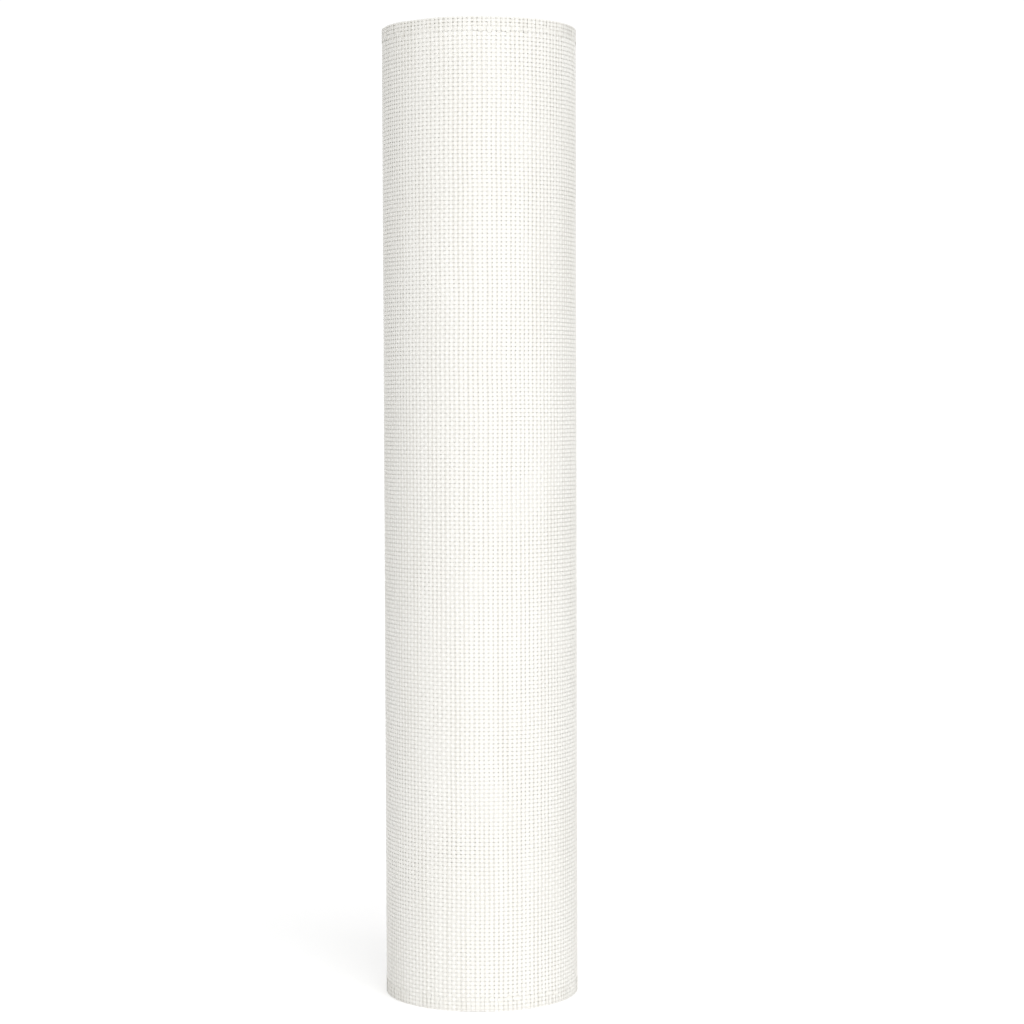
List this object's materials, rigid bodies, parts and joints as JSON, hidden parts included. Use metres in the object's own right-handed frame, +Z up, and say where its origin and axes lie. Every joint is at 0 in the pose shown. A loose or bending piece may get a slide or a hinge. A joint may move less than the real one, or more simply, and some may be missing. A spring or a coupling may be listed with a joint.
{
  "type": "roll of aluminium mesh",
  "caption": "Upright roll of off-white coated square-mesh wire cloth, wound on itself with an open bore through its middle.",
  "frame": {"origin": "the middle of the end that the roll stands on", "axes": "+Z up along the roll's axis, towards its upper end; the roll looks alike from X and Y"},
  "size_m": [0.201, 0.201, 1],
  "materials": {
    "coated_wire": "off-white coated aluminium wire, matt to satin"
  },
  "bodies": {
    "root": {"mesh_roll": "coated_wire"}
  },
  "joints": []
}
